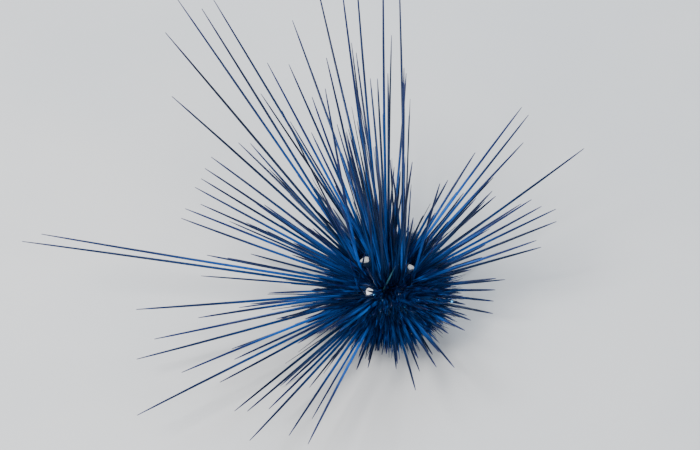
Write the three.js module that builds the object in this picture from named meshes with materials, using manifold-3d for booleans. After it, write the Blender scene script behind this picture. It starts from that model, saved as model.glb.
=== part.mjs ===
// Long-spined sea urchin, standing on its short lower spines, with its long needles fanned out.
// Millimetres, +Z up. The floor is z = 0.
import * as THREE from 'three';
import { mergeVertices } from 'three/addons/utils/BufferGeometryUtils.js';
import Module from 'manifold-3d';

const wasm = await Module();
wasm.setup();

// Test, the round shell that carries the spines
const TEST_RADIUS = 35;
const TEST_TOP = 19;
const TEST_BOTTOM = 16;
const CENTRE_Z = 27;
const ROUNDNESS = 2.3;
const PROFILE_STEPS = 7;
const TEST_SIDES = 40;

// Ten meridian bands: five wide ones between five narrow ones
const BANDS = 5;
const WIDE_HALF = 27;
const NARROW_HALF = 9;
const FIRST_WIDE = 150;
const GAP = 0.3;

// Apical disc, anal cone, mouth and teeth
const DISC_RADIUS = 10.2;
const DISC_DEPTH = 5;
const CONE_RADIUS = 4.6;
const CONE_SEAT = 44.2;
const CONE_HEIGHT = 6.5;
const MOUTH_RADIUS = 13;
const MOUTH_DEPTH = 3.6;
const MOUTH_INSET = 0.7;
const TOOTH_RADIUS = 3.4;
const TOOTH_SEAT = 13.2;
const TOOTH_DROP = 4.4;

// White spots on the wide bands
const SPOT_RADIUS = 2.5;
const SPOT_RISE = 0.9;
const SPOT_SINK = 1.3;
const SPOT_PLACES = [
  { turn: -11, out: 21.5, size: 1.25 },
  { turn: 5, out: 19.5, size: 1 },
  { turn: -3, out: 18.5, size: 0.9 },
  { turn: 17, out: 17, size: 0.9 },
  { turn: 4, out: 19, size: 0.9 },
];

// Side from which the pose is described, in degrees above the floor
const VIEW_RISE = 50;

// Fans of long needles. clock counts from the right towards the top, lean is towards the viewer,
// reach is the distance from the middle of the test to each tip. front draws the roots of needles
// that lean forward towards the viewer's side of the test.
const FANS = [
  { clock: [-12, 7], lean: [24, 10], reach: [78, 75, 77, 80] },
  { clock: [16, 36], lean: [4, 22], reach: [112, 114, 129, 131, 126, 120, 170] },
  { clock: [41, 61], lean: [-12, 22], reach: [101, 105, 141, 162, 161, 115, 91] },
  { clock: [85, 99], lean: [-26, 30], front: 0.9, reach: [158, 168, 221, 165, 232, 151, 173, 224, 177, 226] },
  { clock: [103, 118], lean: [-22, 30], front: 0.8, reach: [232, 181, 149, 215, 151, 175, 136, 182] },
  { clock: [121, 138], lean: [-12, 26], front: 0.5, reach: [241, 245, 252, 104, 242, 142, 154, 205] },
  { clock: [143, 161], lean: [-6, 24], reach: [156, 162, 154, 155, 149, 154, 157] },
  { clock: [169, 172.3], lean: [2, 6], reach: [130, 246, 259] },
  { clock: [184, 195], lean: [8, 18], reach: [178, 138, 169, 183] },
  { clock: [201, 208], lean: [17, 24], reach: [160, 125, 201, 138] },
  { clock: [217, 226], lean: [27, 34], reach: [149, 147, 109, 128, 159] },
  { clock: [234, 253], lean: [36, 50], reach: [149, 165, 78, 62] },
  { clock: [267, 311], lean: [46, 58], reach: [64, 86, 107, 72, 100, 102] },
  { clock: [325, 341], lean: [44, 30], reach: [64, 68, 73] },
  { clock: [88, 126], lean: [-52, -38], reach: [128, 136, 150, 142, 120, 134, 110] },
  { clock: [40, 84], lean: [-72, -60], reach: [84, 96, 78, 90, 82, 94] },
  { clock: [14, 54], lean: [-46, -20], reach: [92, 84, 101, 88, 96] },
  { clock: [126, 166], lean: [-44, -18], reach: [118, 104, 126, 98, 112] },
  { clock: [66, 126], lean: [38, 58], front: 0.25, reach: [112, 96, 134, 104, 142, 92, 126, 110, 98] },
];

// Needles that fill the space between the fans, as a share of the fans' own reach near them
const FILL = { count: 236, low: -22, high: 72, key: 11, jitter: 0.16, share: [0.38, 0.98], evenness: 1.9 };
// They are short in the sectors between the first fans, as the viewer sees them, and shorter behind
const SPARSE = { fans: 14, from: 2, over: 3.5, share: 0.42, behind: 0.4, least: 44 };
// Short spines between the needles
const SHORT = { count: 72, low: -34, high: 66, key: 31, jitter: 0.12, length: [12, 21] };
const ROOT_SPACING = 2.9;
const SPREAD_ROUNDS = 40;
const REACH_BLUR = 0.03;

// Lower spines that the animal stands on, by the place of root and foot
const FEET = [
  { out: 21, foot: 24, count: 10 },
  { out: 27, foot: 34, count: 15 },
];
const FOOT_RADIUS = 1.15;
const FOOT_TIP = 0.75;

// Thickness of the spines
const NEEDLE_RADIUS = 1.0;
const FILL_RADIUS = 0.85;
const SHORT_RADIUS = 0.72;
const TAPER_AT = 0.8;
const TAPER_TO = 0.4;
const ROOT_SINK = 2.6;
const CLEARANCE = 0.4;
const SHIFT_STEP = 1.2;
const SHIFT_RINGS = 9;
const FLOOR_CLEARANCE = 1.5;

const degrees = Math.PI / 180;

// Repeatable scatter from 0 to 1
function vary(index) {
  const value = Math.sin(index * 12.9898) * 43758.5453;
  return value - Math.floor(value);
}

function mix(from, to, share) {
  return from + (to - from) * share;
}

// Closed solid from a geometry, with shared corners merged and flat slivers dropped
function solidOf(geometry) {
  geometry.deleteAttribute('normal');
  geometry.deleteAttribute('uv');
  const merged = mergeVertices(geometry, 1e-4);
  const index = merged.index.array;
  const kept = [];
  for (let i = 0; i < index.length; i += 3) {
    const [a, b, c] = [index[i], index[i + 1], index[i + 2]];
    if (a !== b && b !== c && c !== a) kept.push(a, b, c);
  }
  return new wasm.Manifold(new wasm.Mesh({
    numProp: 3,
    vertProperties: new Float32Array(merged.attributes.position.array),
    triVerts: new Uint32Array(kept),
  }));
}

// The largest closed piece of a solid
function largest(solid) {
  return solid.decompose().reduce((a, b) => (a.volume() >= b.volume() ? a : b));
}

// Round solid about +Z from a profile of (radius, height) pairs that starts and ends on the axis
function turned(profile, sides) {
  const geometry = new THREE.LatheGeometry(profile.map(([r, z]) => new THREE.Vector2(r, z)), sides);
  geometry.rotateX(Math.PI / 2);
  return geometry;
}

// Height of the test above or below its middle at a distance from the axis
function testHeight(out, half) {
  return half * Math.pow(1 - Math.pow(out / TEST_RADIUS, ROUNDNESS), 1 / ROUNDNESS);
}

// Point of the test seen from its middle at an angle above the floor, as distance out and height
function testPoint(rise, innermost) {
  const half = rise >= 0 ? TEST_TOP : TEST_BOTTOM;
  const across = Math.pow(Math.cos(rise) / TEST_RADIUS, ROUNDNESS);
  const along = Math.pow(Math.abs(Math.sin(rise)) / half, ROUNDNESS);
  const reach = Math.pow(across + along, -1 / ROUNDNESS);
  const out = Math.max(reach * Math.cos(rise), innermost);
  const sign = rise >= 0 ? 1 : -1;
  return { out, z: CENTRE_Z + sign * testHeight(Math.min(out, TEST_RADIUS), half) };
}

function testProfile(swell) {
  const profile = [];
  for (let i = 0; i <= 2 * PROFILE_STEPS; i += 1) {
    const turn = (i / PROFILE_STEPS - 1) * Math.PI / 2;
    const half = turn < 0 ? TEST_BOTTOM : TEST_TOP;
    const out = TEST_RADIUS * Math.pow(Math.abs(Math.cos(turn)), 2 / ROUNDNESS);
    const up = Math.sign(turn) * half * Math.pow(Math.abs(Math.sin(turn)), 2 / ROUNDNESS);
    const wider = 1 + swell / TEST_BOTTOM;
    profile.push([i === 0 || i === 2 * PROFILE_STEPS ? 0 : out * wider, CENTRE_Z + up * wider]);
  }
  return profile;
}

// Round plug about the axis between two heights
function plug(radius, low, high, sides) {
  return solidOf(turned([[0, low], [radius, low], [radius, high], [0, high]], sides));
}

// Upright prism that bounds one band, clear of its neighbours by half the gap on each side
function bandPrism(middle, half) {
  const tipX = GAP / 2 / Math.sin(half * degrees);
  const far = 110;
  const shape = new THREE.Shape([
    new THREE.Vector2(tipX, 0),
    new THREE.Vector2(tipX + far * Math.cos(half * degrees), -far * Math.sin(half * degrees)),
    new THREE.Vector2(tipX + far * 1.3, 0),
    new THREE.Vector2(tipX + far * Math.cos(half * degrees), far * Math.sin(half * degrees)),
  ]);
  const geometry = new THREE.ExtrudeGeometry(shape, { depth: 80, bevelEnabled: false });
  geometry.rotateZ(middle * degrees);
  return solidOf(geometry);
}

// Bands in order round the test, each with its middle and half width in degrees
const bands = [];
for (let i = 0; i < BANDS; i += 1) {
  const middle = FIRST_WIDE + i * 360 / BANDS;
  bands.push({ name: `interambulacrum_${i + 1}`, middle, half: WIDE_HALF, spines: [] });
  bands.push({ name: `ambulacrum_${i + 1}`, middle: middle + 36, half: NARROW_HALF, spines: [] });
}

function bandAt(azimuth) {
  const offset = (band) => Math.abs(((azimuth - band.middle + 540) % 360) - 180) / band.half;
  return bands.reduce((a, b) => (offset(a) <= offset(b) ? a : b));
}

// Azimuth moved so that a round root of a given radius stays inside its band
function keptIn(band, azimuth, out, radius) {
  const off = ((azimuth - band.middle + 540) % 360) - 180;
  const edge = Math.asin(Math.min(1, (radius + GAP * 0.7) / out)) / degrees;
  const limit = Math.max(0, band.half - edge);
  return band.middle + Math.max(-limit, Math.min(limit, off));
}

// White spots, one on each wide band
const spots = SPOT_PLACES.map((place, i) => {
  const azimuth = (bands[2 * i].middle + place.turn) * degrees;
  const z = CENTRE_Z + testHeight(place.out, TEST_TOP);
  const slope = 1.5;
  const lower = CENTRE_Z + testHeight(place.out + slope, TEST_TOP);
  const tilt = Math.atan2(z - lower, slope);
  const normal = new THREE.Vector3(Math.sin(tilt), 0, Math.cos(tilt));
  normal.applyAxisAngle(new THREE.Vector3(0, 0, 1), azimuth);
  const centre = new THREE.Vector3(place.out * Math.cos(azimuth), place.out * Math.sin(azimuth), z);
  return { band: bands[2 * i], centre, normal, radius: SPOT_RADIUS * place.size };
});

// One tapering spine from its root on the test to its tip. Its root is sunk along its own line.
function spineSolid(root, tip, radius, sides, endRadius) {
  const line = new THREE.Vector3().subVectors(tip, root);
  const length = line.length();
  line.normalize();
  const taper = Math.max(0.3, radius * TAPER_TO);
  const profile = endRadius
    ? [[0, -ROOT_SINK], [radius, -ROOT_SINK], [endRadius, length], [0, length]]
    : [[0, -ROOT_SINK], [radius, -ROOT_SINK], [taper, length * TAPER_AT], [0, length]];
  const geometry = turned(profile, sides);
  geometry.applyQuaternion(new THREE.Quaternion().setFromUnitVectors(new THREE.Vector3(0, 0, 1), line));
  geometry.translate(root.x, root.y, root.z);
  return solidOf(geometry);
}

// Point of the test on the line from its middle through a given point
function onTest(point) {
  const away = Math.hypot(point.x, point.y);
  const rise = Math.atan2(point.z - CENTRE_Z, away);
  const innermost = rise > 0 ? DISC_RADIUS + 2.4 : MOUTH_RADIUS + 2.4;
  const base = testPoint(rise, innermost);
  return new THREE.Vector3(base.out * point.x / away, base.out * point.y / away, base.z);
}

// Direction of a needle from its clock angle and its lean, as the viewer sees them
function seenDirection(clock, lean) {
  const right = Math.cos(lean) * Math.cos(clock);
  const up = Math.cos(lean) * Math.sin(clock);
  const near = Math.sin(lean);
  const view = VIEW_RISE * degrees;
  return new THREE.Vector3(
    right,
    up * Math.sin(view) - near * Math.cos(view),
    up * Math.cos(view) + near * Math.sin(view),
  );
}

const middle = new THREE.Vector3(0, 0, CENTRE_Z);
const towardsViewer = seenDirection(0, Math.PI / 2);

// Directions on a golden spiral between two heights, scattered a little
function spread({ count, low, high, key, jitter }, index) {
  const from = Math.sin(low * degrees);
  const height = from + (Math.sin(high * degrees) - from) * (index + 0.5) / count;
  const rise = Math.asin(height) + jitter * (vary(key + index + 0.4) - 0.5);
  const turn = index * 2.399963 + key + jitter * (vary(key + index + 0.9) - 0.5);
  return new THREE.Vector3(
    Math.cos(rise) * Math.cos(turn),
    Math.cos(rise) * Math.sin(turn),
    Math.sin(rise),
  );
}

// Tip of a needle at a distance along a direction, kept above the floor
function tipAlong(direction, reach) {
  const tip = direction.clone().multiplyScalar(reach).add(middle);
  tip.z = Math.max(tip.z, FLOOR_CLEARANCE + 0.5);
  return tip;
}

// Long needles of the fans, each as its direction, tip and first place of its root
const needles = [];
for (const fan of FANS) {
  fan.reach.forEach((reach, i) => {
    const share = i / (fan.reach.length - 1);
    const clock = mix(fan.clock[0], fan.clock[1], share) * degrees;
    const leanDegrees = mix(fan.lean[0], fan.lean[1], (i * 0.618034 + 0.3) % 1);
    const direction = seenDirection(clock, leanDegrees * degrees);
    const front = leanDegrees > 2 ? (fan.front || 0) * (0.6 + 0.8 * vary(i + 5.5)) : 0;
    const tip = tipAlong(direction, reach);
    const way = tip.clone().sub(middle).normalize().addScaledVector(towardsViewer, front);
    needles.push({ direction, reach, tip, root: onTest(way.add(middle)), radius: NEEDLE_RADIUS });
  });
}

// The fans' own reach near a direction, weighted by closeness
const fanNeedles = needles.slice();
function localReach(direction) {
  let sum = 0;
  let weights = 0;
  for (const one of fanNeedles) {
    const weight = Math.exp((direction.dot(one.direction) - 1) / REACH_BLUR);
    sum += weight * one.reach;
    weights += weight;
  }
  return sum / weights;
}

// 1 inside the fans, easing to a lower share in the empty sectors between them and on the far side
function fullness(direction) {
  const view = VIEW_RISE * degrees;
  const up = direction.y * Math.sin(view) + direction.z * Math.cos(view);
  const clock = Math.atan2(up, direction.x) / degrees;
  const outside = Math.min(...FANS.slice(0, SPARSE.fans).map(({ clock: [low, high] }) => {
    const offset = Math.abs(((clock - (low + high) / 2 + 540) % 360) - 180);
    return Math.max(0, offset - (high - low) / 2);
  }));
  const t = Math.min(1, Math.max(0, (outside - SPARSE.from) / SPARSE.over));
  const between = mix(1, SPARSE.share, t * t * (3 - 2 * t));
  const away = Math.min(0.6, Math.max(0, 0.15 - direction.dot(towardsViewer)));
  return between * (1 - SPARSE.behind * away / 0.6);
}

for (let i = 0; i < FILL.count; i += 1) {
  const direction = spread(FILL, i);
  const share = mix(FILL.share[0], FILL.share[1], Math.pow(vary(i + 500.3), FILL.evenness));
  const reach = Math.max(localReach(direction) * share * fullness(direction), SPARSE.least);
  const tip = tipAlong(direction, reach);
  needles.push({ direction, reach, tip, root: onTest(tip), radius: FILL_RADIUS });
}

// Roots move apart over the test until none is nearer to another than the spacing
for (let round = 0; round < SPREAD_ROUNDS; round += 1) {
  const pushes = needles.map((one) => {
    const push = new THREE.Vector3();
    for (const other of needles) {
      if (other !== one) {
        const away = new THREE.Vector3().subVectors(one.root, other.root);
        const distance = away.length();
        if (distance < ROOT_SPACING) {
          push.addScaledVector(away, 0.45 * (ROOT_SPACING - distance) / Math.max(distance, 0.05));
        }
      }
    }
    return push;
  });
  needles.forEach((one, i) => {
    one.root = onTest(one.root.clone().add(pushes[i]));
  });
}

// Share of a spine's thickness that is left at a share of its length
function narrowing(share) {
  return share < TAPER_AT ? mix(1, TAPER_TO, share / TAPER_AT) : TAPER_TO;
}

// Smallest distance between the lines of two spines, less their radii there
function clearance(a, b) {
  const u = new THREE.Vector3().subVectors(a.end, a.root);
  const v = new THREE.Vector3().subVectors(b.end, b.root);
  const w = new THREE.Vector3().subVectors(a.root, b.root);
  const [uu, uv, vv, uw, vw] = [u.dot(u), u.dot(v), v.dot(v), u.dot(w), v.dot(w)];
  const within = (value) => Math.min(1, Math.max(0, value));
  let s = within((uv * vw - vv * uw) / Math.max(uu * vv - uv * uv, 1e-9));
  const t = within((uv * s + vw) / vv);
  s = within((uv * t - uw) / uu);
  const gap = w.clone().addScaledVector(u, s).addScaledVector(v, -t).length();
  return gap - a.radius * narrowing(s) - b.radius * narrowing(t);
}

// Distance from a point to the line of a spine
function distanceTo(point, spine) {
  const line = new THREE.Line3(spine.root, spine.end);
  return line.closestPointToPoint(point, true, new THREE.Vector3()).distanceTo(point);
}

const placed = [];

// Gives a spine to the band that its root stands in, unless it would cross another or a white spot
function place(spine) {
  const { root } = spine;
  const out = Math.hypot(root.x, root.y);
  const azimuth = Math.atan2(root.y, root.x) / degrees;
  const band = bandAt(azimuth);
  const turn = keptIn(band, azimuth, out, spine.radius) * degrees;
  const kept = new THREE.Vector3(out * Math.cos(turn), out * Math.sin(turn), root.z);
  const moved = { ...spine, band, root: kept };
  const blocked = placed.some((other) => {
    const least = other.band === band ? 0.05 : CLEARANCE;
    return clearance(moved, other) < least;
  });
  const overSpot = spots.some((spot) => distanceTo(spot.centre, moved) < spot.radius + spine.radius + 0.6);
  const overCone = distanceTo(coneMiddle, moved) < CONE_RADIUS * 1.3 + spine.radius;
  if (blocked || overSpot || overCone) return false;
  placed.push(moved);
  band.spines.push(moved);
  return true;
}

const coneMiddle = new THREE.Vector3(0, 0, CONE_SEAT + CONE_HEIGHT / 2);

// Tries a spine at its own root, then in widening rings round it
function placeNear(spine) {
  for (let ring = 0; ring <= SHIFT_RINGS; ring += 1) {
    for (let step = 0; step < (ring ? 8 : 1); step += 1) {
      const angle = step * Math.PI / 4 + ring * 0.4;
      const side = SHIFT_STEP * ring * Math.cos(angle);
      const up = SHIFT_STEP * ring * Math.sin(angle);
      const { root } = spine;
      const out = Math.hypot(root.x, root.y);
      const x = root.x - side * root.y / out;
      const y = root.y + side * root.x / out;
      if (place({ ...spine, root: onTest(new THREE.Vector3(x, y, root.z + up)) })) return;
    }
  }
}

// Lower spines, each ending in a small flat on the floor
for (const row of FEET) {
  for (let i = 0; i < row.count; i += 1) {
    const turn = 360 * (i + 0.5) / row.count + 6;
    const azimuth = keptIn(bandAt(turn), turn, row.out, FOOT_RADIUS) * degrees;
    const height = CENTRE_Z - testHeight(row.out, TEST_BOTTOM);
    const root = new THREE.Vector3(row.out * Math.cos(azimuth), row.out * Math.sin(azimuth), height);
    const end = new THREE.Vector3(row.foot * Math.cos(azimuth), row.foot * Math.sin(azimuth), -1);
    place({ root, end, radius: FOOT_RADIUS, sides: 6, endRadius: FOOT_TIP });
  }
}

// The longest needles take their places first
needles.sort((a, b) => b.reach - a.reach);
for (const one of needles) placeNear({ root: one.root, end: one.tip, radius: one.radius, sides: 4 });

// Short spines stand out from the test between the needles
for (let i = 0; i < SHORT.count; i += 1) {
  const direction = spread(SHORT, i);
  const root = onTest(direction.clone().multiplyScalar(60).add(middle));
  const length = mix(SHORT.length[0], SHORT.length[1], vary(i + 61.3));
  const end = direction.clone().multiplyScalar(length).add(root);
  end.z = Math.max(end.z, FLOOR_CLEARANCE);
  place({ root, end, radius: SHORT_RADIUS, sides: 4 });
}

// Colours and surfaces
function surface(color, roughness) {
  return new THREE.MeshStandardMaterial({ color, roughness, metalness: 0 });
}

const navy = new THREE.Color(0.02, 0.03, 0.09);
const skinMaterial = () => surface(navy, 0.45);
const discMaterial = () => surface(0x0a0a18, 0.5);
const coneMaterial = () => surface(0x14101c, 0.4);
const spotMaterial = () => surface(0xf4f2ea, 0.4);
const mouthMaterial = () => surface(0x2a1a24, 0.6);
const toothMaterial = () => surface(0xece6d8, 0.35);

const urchin = new THREE.Group();

function addMesh(name, solid, material) {
  const { vertProperties, triVerts } = largest(solid).getMesh();
  const geometry = new THREE.BufferGeometry();
  geometry.setAttribute('position', new THREE.BufferAttribute(new Float32Array(vertProperties), 3));
  geometry.setIndex(new THREE.BufferAttribute(new Uint32Array(triVerts), 1));
  const mesh = new THREE.Mesh(geometry, material);
  mesh.name = name;
  urchin.add(mesh);
}

// Bands of the test with their spines
const test = solidOf(turned(testProfile(0), TEST_SIDES));
const swollenTest = solidOf(turned(testProfile(GAP), TEST_SIDES));
const discFloor = CENTRE_Z + TEST_TOP - DISC_DEPTH;
const discHollow = plug(DISC_RADIUS + GAP, discFloor - GAP, CENTRE_Z + TEST_TOP + 0.6, 30);
const mouthHollow = plug(MOUTH_RADIUS + GAP, -5, CENTRE_Z - TEST_BOTTOM + MOUTH_DEPTH + GAP, 30);
const ground = plug(400, -60, 0, 8);

function spotPlug(spot, radius, low, high) {
  const profile = [[0, low], [radius, low], [radius, high * 0.4], [radius * 0.6, high], [0, high]];
  const geometry = turned(profile, 12);
  const up = new THREE.Vector3(0, 0, 1);
  geometry.applyQuaternion(new THREE.Quaternion().setFromUnitVectors(up, spot.normal));
  geometry.translate(spot.centre.x, spot.centre.y, spot.centre.z);
  return solidOf(geometry);
}

for (const band of bands) {
  const prism = bandPrism(band.middle, band.half);
  let solid = test.intersect(prism);
  for (const spine of band.spines) {
    solid = solid.add(spineSolid(spine.root, spine.end, spine.radius, spine.sides, spine.endRadius));
  }
  // no root dips into a neighbouring band, the disc, the mouth or the floor
  solid = solid.subtract(swollenTest.subtract(prism));
  solid = solid.subtract(discHollow).subtract(mouthHollow).subtract(ground);
  for (const spot of spots.filter((one) => one.band === band)) {
    solid = solid.subtract(spotPlug(spot, spot.radius + GAP, -SPOT_SINK - GAP, 4));
  }
  addMesh(band.name, solid, skinMaterial());
}

spots.forEach((spot, i) => {
  addMesh(`white_spot_${i + 1}`, spotPlug(spot, spot.radius, -SPOT_SINK, SPOT_RISE), spotMaterial());
});

// Apical disc with the seat of the anal cone
const discPlug = plug(DISC_RADIUS, discFloor, 60, 30);
const coneSeat = plug(CONE_RADIUS + GAP, CONE_SEAT - GAP, 60, 20);
addMesh('apical_disc', test.intersect(discPlug).subtract(coneSeat), discMaterial());

// Anal cone, a soft bulb with a small opening dimple at its top
const coneTop = CONE_SEAT + CONE_HEIGHT;
const coneProfile = [
  [0, CONE_SEAT],
  [CONE_RADIUS, CONE_SEAT],
  [CONE_RADIUS * 1.05, CONE_SEAT + CONE_HEIGHT * 0.35],
  [CONE_RADIUS * 0.85, CONE_SEAT + CONE_HEIGHT * 0.72],
  [CONE_RADIUS * 0.42, coneTop],
  [0, coneTop - 1.4],
];
addMesh('anal_cone', solidOf(turned(coneProfile, 16)), coneMaterial());

// Mouth membrane round the teeth
const mouthFloor = CENTRE_Z - TEST_BOTTOM + MOUTH_INSET;
const mouthTop = CENTRE_Z - TEST_BOTTOM + MOUTH_DEPTH;
const mouthPlug = plug(MOUTH_RADIUS, mouthFloor, mouthTop, 30);
const toothSeat = plug(TOOTH_RADIUS + GAP, 0, TOOTH_SEAT + GAP, 20);
addMesh('mouth_membrane', mouthPlug.subtract(toothSeat), mouthMaterial());

// Five teeth that close to one point, with grooves between them
const toothProfile = [
  [0, TOOTH_SEAT - TOOTH_DROP],
  [TOOTH_RADIUS * 0.3, TOOTH_SEAT - TOOTH_DROP + 0.3],
  [TOOTH_RADIUS, TOOTH_SEAT - 1.2],
  [TOOTH_RADIUS, TOOTH_SEAT],
  [0, TOOTH_SEAT],
];
let teeth = solidOf(turned(toothProfile, 20));
for (let i = 0; i < BANDS; i += 1) {
  const groove = new THREE.BoxGeometry(TOOTH_RADIUS, 0.5, TOOTH_DROP - 1.6);
  groove.translate(TOOTH_RADIUS * 0.5 + 1.1, 0, TOOTH_SEAT - 1.4 - (TOOTH_DROP - 1.6) / 2);
  groove.rotateZ((FIRST_WIDE + i * 72) * degrees);
  teeth = teeth.subtract(solidOf(groove));
}
addMesh('teeth', teeth, toothMaterial());

// The origin lies on the floor under the middle of the whole animal, tips of the needles included
const box = new THREE.Box3().setFromObject(urchin);
urchin.position.set(-(box.min.x + box.max.x) / 2, -(box.min.y + box.max.y) / 2, 0);

export default urchin;
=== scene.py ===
# Long-spined sea urchin: fine skin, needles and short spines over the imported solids.
import math

import bpy
import numpy as np
from mathutils import Matrix, Vector


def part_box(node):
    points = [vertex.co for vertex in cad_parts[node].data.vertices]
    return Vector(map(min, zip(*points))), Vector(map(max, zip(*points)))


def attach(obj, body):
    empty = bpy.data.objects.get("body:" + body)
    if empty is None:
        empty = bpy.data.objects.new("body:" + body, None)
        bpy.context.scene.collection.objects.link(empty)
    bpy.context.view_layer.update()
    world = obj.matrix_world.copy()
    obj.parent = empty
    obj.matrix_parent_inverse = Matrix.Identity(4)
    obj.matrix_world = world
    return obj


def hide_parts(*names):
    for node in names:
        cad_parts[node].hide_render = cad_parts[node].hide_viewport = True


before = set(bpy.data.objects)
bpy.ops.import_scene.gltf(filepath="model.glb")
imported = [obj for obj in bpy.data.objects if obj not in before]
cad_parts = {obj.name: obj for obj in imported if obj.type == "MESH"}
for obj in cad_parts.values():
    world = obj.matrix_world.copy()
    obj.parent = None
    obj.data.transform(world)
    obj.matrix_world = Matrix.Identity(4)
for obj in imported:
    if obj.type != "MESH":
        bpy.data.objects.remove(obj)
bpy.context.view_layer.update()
mm = 0.001
wideBands = [f"interambulacrum_{i + 1}" for i in range(5)]
narrowBands = [f"ambulacrum_{i + 1}" for i in range(5)]
bandNodes = wideBands + narrowBands

# The test's own axis, found from the solids, in metres
coneLow, coneHigh = (np.array(c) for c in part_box("anal_cone"))
axisPlace = np.array([(coneLow[0] + coneHigh[0]) / 2, (coneLow[1] + coneHigh[1]) / 2, 0.0])

test = {
    "radius": 35.0,  # at the widest
    "top": 19.0,  # from the middle up to the pole
    "bottom": 16.0,
    "middleHeight": 27.0,  # above the floor
    "roundness": 2.3,
    "discRadius": 10.2,
    "mouthRadius": 13.0,
    "firstWide": 150.0,  # middle of the first wide band, degrees
    "wideHalf": 27.0,
    "narrowHalf": 9.0,
    "gap": 0.3,  # between the bands
    "viewRise": 50.0,  # the pose is described from this height, in degrees
}
cone = {"radius": 4.6, "seat": 44.2, "height": 6.5, "rim": 2.1}
middle = np.array([0.0, 0.0, test["middleHeight"]])
coneMiddle = np.array([0, 0, cone["seat"] + cone["height"] / 2])
rootKeep = 2.4  # between a root's middle and the edge of the disc or the mouth
goldenTurn, goldenShare = 2.399963, 0.618034

photo = {
    "widthPx": 700, "heightPx": 450,
    "middlePx": (388, 290),  # where the needles' lines meet
    "scale": 0.7,  # millimetres to a pixel at the test
    "distance": 1300.0,
}


# Scatter from 0 to 1: the fraction of a large multiple of a sine
def vary(key):
    value = np.sin(np.asarray(key, float) * 12.9898) * 43758.5453
    return value - np.floor(value)


# Low plus a share of the way to high
def between(low, high, share):
    return low + (high - low) * share


# Each row over its own length
def unit(rows):
    return rows / np.linalg.norm(rows, axis=-1, keepdims=True)


# Points by their distance out from the axis, their turn about it and their height
def polar(out, turn, height):
    return np.stack([out * np.cos(turn), out * np.sin(turn), height], axis=-1)


# Superellipse: (out / radius)^n + (height / half)^n = 1
def testHeight(out, half):
    inside = np.clip(1 - (out / test["radius"]) ** test["roundness"], 0, 1)
    return half * inside ** (1 / test["roundness"])


# Where a line from the middle of the test, at an angle rise above the floor, leaves the superellipse
def testPoint(rise, turn, innermost):
    half = np.where(rise >= 0, test["top"], test["bottom"])
    n = test["roundness"]
    across = (np.cos(rise) / test["radius"]) ** n
    along = (np.abs(np.sin(rise)) / half) ** n
    out = np.maximum((across + along) ** (-1 / n) * np.cos(rise), innermost)
    height = middle[2] + np.where(rise >= 0, 1, -1) * testHeight(np.minimum(out, test["radius"]), half)
    return polar(out, turn, height)


# Rise and turn of directions: arc tangents of height over distance out, and of y over x
def anglesOf(directions):
    rise = np.arctan2(directions[..., 2], np.hypot(directions[..., 0], directions[..., 1]))
    return rise, np.arctan2(directions[..., 1], directions[..., 0])


# Where the line from the middle of the test through each point leaves it, kept off the disc and the mouth
def onTest(points):
    rise, turn = anglesOf(points - middle)
    return testPoint(rise, turn, np.where(rise > 0, test["discRadius"], test["mouthRadius"]) + rootKeep)


# Clock runs from the viewer's right towards the top, lean is towards the viewer
def seenDirection(clock, lean):
    right = np.cos(lean) * np.cos(clock)
    up = np.cos(lean) * np.sin(clock)
    near = np.sin(lean)
    view = math.radians(test["viewRise"])
    return np.stack([right, up * math.sin(view) - near * math.cos(view),
                     up * math.cos(view) + near * math.sin(view)], axis=-1)


viewRight = seenDirection(0.0, 0.0)
viewUp = seenDirection(math.pi / 2, 0.0)
towardsViewer = seenDirection(0.0, math.pi / 2)


# First point of the test on the line of sight through a pixel: steps along the line until
# (out / radius)^n + (height / half)^n falls to 1
def seenOnTest(px, py):
    depth = np.linspace(60, -60, 2401)[:, None]
    across = (px - photo["middlePx"][0]) * photo["scale"]
    upwards = (photo["middlePx"][1] - py) * photo["scale"]
    line = viewRight * across + viewUp * upwards + towardsViewer * depth
    half = np.where(line[:, 2] >= 0, test["top"], test["bottom"])
    n = test["roundness"]
    inside = (np.hypot(line[:, 0], line[:, 1]) / test["radius"]) ** n + (np.abs(line[:, 2]) / half) ** n < 1
    return middle + line[np.argmax(inside)]


unwrap = {"margin": 0.01, "patch": 0.003}


# The test's own unwrap, inside a margin: turn about the axis across, angle from pole to pole upwards
def unwrapPlace(points):
    rise, turn = anglesOf(points - middle)
    place = np.stack([turn / (2 * math.pi) % 1, rise / math.pi + 0.5], axis=-1)
    return unwrap["margin"] + (1 - 2 * unwrap["margin"]) * place


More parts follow.
